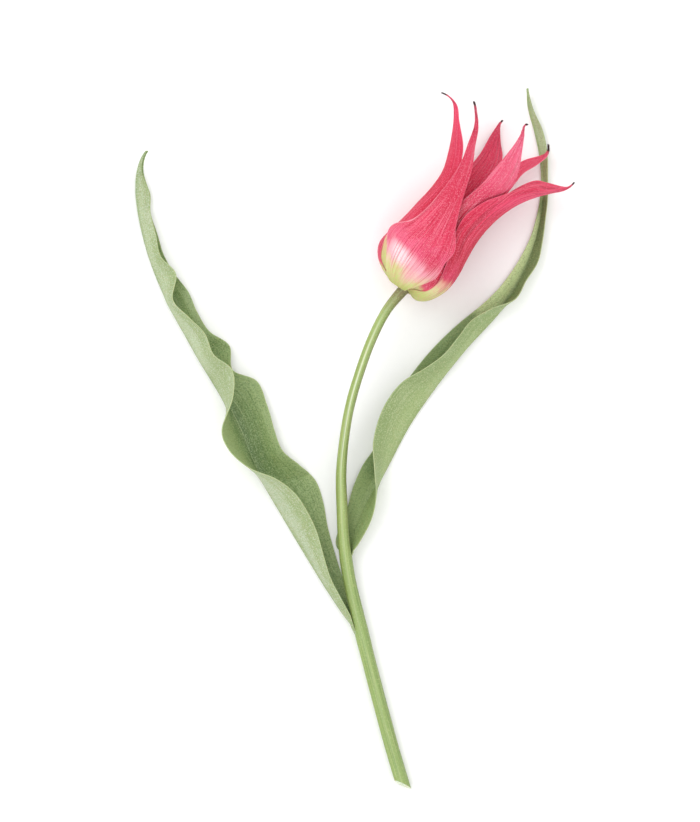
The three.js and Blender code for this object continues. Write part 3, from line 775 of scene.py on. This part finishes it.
# Outer faces: colours from foot to tip, vein, light streak, spots, and where the dark tip starts.
PETAL_LOOKS = {
    "outer_front": (
        [(0.0, "95A34C"), (0.07, "B2BF66"), (0.165, "C7D185"), (0.2, "DAC7A3"), (0.23, "E4A7AF"),
         (0.29, "DD5778"), (0.37, "D5395A"), (0.55, "CB294B"), (0.85, "CD2E4F"), (0.95, "98273D")],
        "B81937", "E7869A",
        # Its white spot is a painted highlight, and the dark red spot near its right margin low
        # down is painted shade.
        [(0.36, 0.235, 0.3, 0.058, "EEDCE0", 0.9), (0.68, 0.195, 0.3, 0.09, "EAABB8", 0.65),
         (0.84, 0.29, 0.16, 0.08, "CA2B4F", 0.85), (0.0, 0.42, 0.07, 0.2, "EAA5B2", 0.85)],
        0.94,
    ),
    "outer_right": (
        [(0.0, "A6B45A"), (0.1, "BCC777"), (0.185, "D4D498"), (0.22, "D9AE92"), (0.26, "C73254"),
         (0.34, "BC1736"), (0.5, "CB2145"), (0.66, "DE4368"), (0.86, "DF476A"), (0.94, "AF213F")],
        "9B102B", "E67389",
        [(0.0, 0.72, 0.22, 0.2, "C21F3F", 0.75), (0.5, 0.74, 0.35, 0.14, "E25678", 0.5)], 0.945,
    ),
    "outer_back": (
        [(0.0, "A6B45A"), (0.1, "B9C574"), (0.15, "D03A5A"), (0.4, "C81D40"), (0.7, "CE2B4B"),
         (0.9, "D94F6F"), (0.96, "98273D")],
        "9B132E", "E28094", [], 0.945,
    ),
    "inner_front": (
        # Its deeper red, from a fifth to two fifths of the way up, is painted shade from the outer
        # front petal.
        [(0.0, "B5C16C"), (0.09, "C1C67B"), (0.135, "D34461"), (0.2, "C01D3C"), (0.42, "C21D3C"),
         (0.54, "D12F55"), (0.66, "E05173"), (0.84, "E35A7D"), (0.95, "C43053")],
        "BA1C3C", "EDA0B0", [], 0.95,
    ),
    "inner_left": (
        [(0.0, "B5C16C"), (0.16, "BDC879"), (0.22, "D1C58A"), (0.27, "D4887B"), (0.31, "CA2849"),
         (0.5, "C41B3C"), (0.68, "CF2549"), (0.85, "DF3D61"), (0.94, "BE2949")],
        "B01433", "E76D87", [], 0.935,
    ),
    "inner_back": (
        # Its pale pink towards the tip is painted light.
        [(0.0, "B5C16C"), (0.15, "C8C585"), (0.24, "D13D5B"), (0.4, "C51E41"), (0.62, "DA4468"),
         (0.78, "EA889D"), (0.88, "E26E89"), (0.93, "832738")],
        "B81F41", "EC98A9", [], 0.92,
    ),
}
for petal_name, rows in PETALS.items():
    stops, vein, light, spots, tip = PETAL_LOOKS[petal_name]
    petal = petal_strip("petal_" + petal_name + "_blade", rows)
    outer_face = petal_finish(petal_name + "_petal_outside", stops, vein, light, spots, tip)
    inner_face = petal_finish(petal_name + "_petal_inside", INNER_FACE, "AA233C", "E48598", [], tip)
    petal.data.materials.append(outer_face)
    petal.data.materials.append(inner_face)
    thickened(petal, PETAL_THICKNESS)
    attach(petal, "root")
    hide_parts("petal_" + petal_name)

# Pistil: a fleshy green three-sided ovary on the receptacle, with a pale three-lobed stigma on its
# top whose velvety crests are folded down.
OVARY = [[3.5, 1.3], [7.5, 2.1], [13.0, 2.3], [18.5, 1.8], [20.5, 1.6]]  # height, radius
STIGMA = [[20.8, 1.7], [21.5, 2.7], [22.5, 3.0], [23.2, 2.3], [23.4, 0.6]]
OVARY_ANGLE = 27
PISTIL_SIDES = 48
OVARY_ROWS = 60
STIGMA_ROWS = 28


def ovary_ring(angle, t):
    """The ovary's skin, with its three rounded ridges."""
    height, radius = flow(OVARY, t)
    radius *= 1 + 0.1 * math.cos(3 * angle) + 0.015 * math.cos(6 * angle)
    return in_bloom(height, radius, math.degrees(angle) + OVARY_ANGLE)


def stigma_ring(angle, t):
    """The stigma's skin, with grooves between its three velvety crests."""
    height, radius = flow(STIGMA, t)
    crest = abs(math.cos(1.5 * angle)) ** 0.6
    velvet = noise.noise(Vector((3 * math.cos(angle), 3 * math.sin(angle), height * 3)))
    radius *= 0.72 + 0.5 * crest + 0.07 * velvet
    groove = 0.5 * (1 - crest) * (t > 0.5)
    return in_bloom(height - groove, radius, math.degrees(angle) + OVARY_ANGLE)


def tissue_finish(name, first, second, size, depth, shine):
    """Two tones of one tissue, mottled at a given size in millimetres, with a fine grain."""
    finish, tree = new_finish(name, shine, 0.1)
    object_place = add(tree, "TexCoord").outputs["Object"]
    each = 1 / (size * MM)
    mottle = grain(tree, object_place, (each, each, each), detail=4, roughness=0.7)
    colour = blended(tree, between(tree, mottle, 0.35, 0.65), first, second)
    finish_with(tree, colour, mottle, depth)
    return finish


ovary = closed_tube("pistil_ovary_body", PISTIL_SIDES, OVARY_ROWS, ovary_ring)
ovary.data.materials.append(tissue_finish("ovary_skin", "A0B261", "BFC987", 1.2, 0.1, 0.45))
stigma = closed_tube("pistil_stigma_lobes", PISTIL_SIDES, STIGMA_ROWS, stigma_ring)
stigma.data.materials.append(tissue_finish("stigma_velvet", "D8CF98", "E6E0BE", 0.4, 0.2, 0.75))
for piece, node, finish_slot in (
    (ovary, "pistil_ovary", "ovary"),
    (stigma, "pistil_stigma", "stigma"),
):
    piece.select_set(False)
    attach(piece, "root")
    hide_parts(node)

# Stamens: six stiff pale filaments in a ring round the ovary, each with a long two-lobed anther
# balanced on its end, dark with pollen.
FILAMENT = [[0.2, 0.6], [3, 0.56], [6, 0.48], [9.2, 0.35]]  # height, radius
FILAMENT_SIDES = 16
FILAMENT_ROWS = 26
ANTHER = [
    [9.5, 0.35], [10.4, 0.95], [12.4, 1.1], [15.5, 1.12], [18.5, 1.05], [20.6, 0.85], [21.5, 0.25],
]
ANTHER_SIDES = 32
ANTHER_ROWS = 44
ANTHER_LOBES = 0.15  # of its radius
POLLEN_GRAINS = 0.07
STAMENS = 6
STAMEN_ANGLE = 57
STAMEN_FOOT = (3.5, 2.4)  # height and radius where each stands
STAMEN_LEAN = math.radians(16)
filament_finish = tissue_finish("filament_skin", "CECA85", "E0DCAB", 1.0, 0.05, 0.5)
pollen_finish = tissue_finish("anther_pollen", "38222D", "644650", 0.35, 0.25, 0.9)


def stamen_ring(number, rows, lobes, grains):
    """The skin, as a ring(angle, t), of a column on a stamen's own leaning axis."""
    turn = STAMEN_ANGLE + 360 / STAMENS * number

    def ring(angle, t):
        height, radius = flow(rows, t)
        radius *= 1 + lobes * math.cos(2 * angle)
        grain_place = Vector((math.cos(angle) * 4, math.sin(angle) * 4, height * 3))
        radius += grains * noise.noise(grain_place)
        x, z = radius * math.sin(angle), radius * math.cos(angle)
        up = height * math.cos(STAMEN_LEAN) - z * math.sin(STAMEN_LEAN)
        out = height * math.sin(STAMEN_LEAN) + z * math.cos(STAMEN_LEAN)
        out += STAMEN_FOOT[1]
        return in_bloom(
            STAMEN_FOOT[0] + up, math.hypot(x, out), math.degrees(math.atan2(x, out)) + turn
        )

    return ring


for number in range(STAMENS):
    node = f"stamen_{number + 1}_"
    stalk_ring = stamen_ring(number, FILAMENT, 0, 0)
    filament = closed_tube(node + "filament_stalk", FILAMENT_SIDES, FILAMENT_ROWS, stalk_ring)
    filament.data.materials.append(filament_finish)
    lobes_ring = stamen_ring(number, ANTHER, ANTHER_LOBES, POLLEN_GRAINS)
    anther = closed_tube(node + "anther_lobes", ANTHER_SIDES, ANTHER_ROWS, lobes_ring)
    anther.data.materials.append(pollen_finish)
    for piece, part in ((filament, "filament"), (anther, "anther")):
        piece.select_set(False)
        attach(piece, "root")
        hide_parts(node + part)

# Table, light and camera: the flower lies on a plain white surface in soft even light, a little
# stronger from the upper left, and is seen straight from above.
TABLE_SIZE = 24  # in metres, as are its level and the key light's place and size
TABLE_LEVEL = -0.0002
ROOM_LIGHT = 1.22
KEY_PLACE = (-0.9, 1.0, 1.7)
KEY_SIZE = 0.9
KEY_POWER = 8
VIEW_HEIGHT_MM = 369.9
VIEW_CENTRE = (-2.25, 12.4)
VIEW_LEVEL = 10  # millimetres above the table, where the view has that height
LENS = 800
SENSOR = 36
bpy.ops.mesh.primitive_plane_add(size=TABLE_SIZE, location=(0, 0, TABLE_LEVEL))
table = bpy.context.object
table.name = "pale_table"
table_finish, tree = new_finish("pale_table_top", 0.9)
object_place = add(tree, "TexCoord").outputs["Object"]
tooth = grain(tree, object_place, (400, 400, 400), detail=3)
finish_with(tree, blended(tree, tooth, "FAFAFA", "FDFDFD"), tooth, 0.01)
table.data.materials.append(table_finish)
table.select_set(False)

world = bpy.data.worlds.new("soft_room")
world.use_nodes = True
world.node_tree.nodes["Background"].inputs["Color"].default_value = (1, 1, 1, 1)
world.node_tree.nodes["Background"].inputs["Strength"].default_value = ROOM_LIGHT
bpy.context.scene.world = world
bpy.ops.object.light_add(type="AREA", location=KEY_PLACE)
key_light = bpy.context.object
key_light.name = "key_light"
key_light.data.size = KEY_SIZE
key_light.data.energy = KEY_POWER
key_light.visible_camera = False
key_light.rotation_euler = (-key_light.location).to_track_quat("-Z", "Y").to_euler()
bpy.context.scene.view_settings.view_transform = "Standard"

camera_height = VIEW_HEIGHT_MM * LENS / SENSOR + VIEW_LEVEL
camera_place = (VIEW_CENTRE[0] * MM, VIEW_CENTRE[1] * MM, camera_height * MM)
bpy.ops.object.camera_add(location=camera_place, rotation=(0, 0, 0))
camera = bpy.context.object
camera.data.lens = LENS
camera.data.sensor_width = SENSOR
camera.data.clip_end = 60
bpy.context.scene.camera = camera
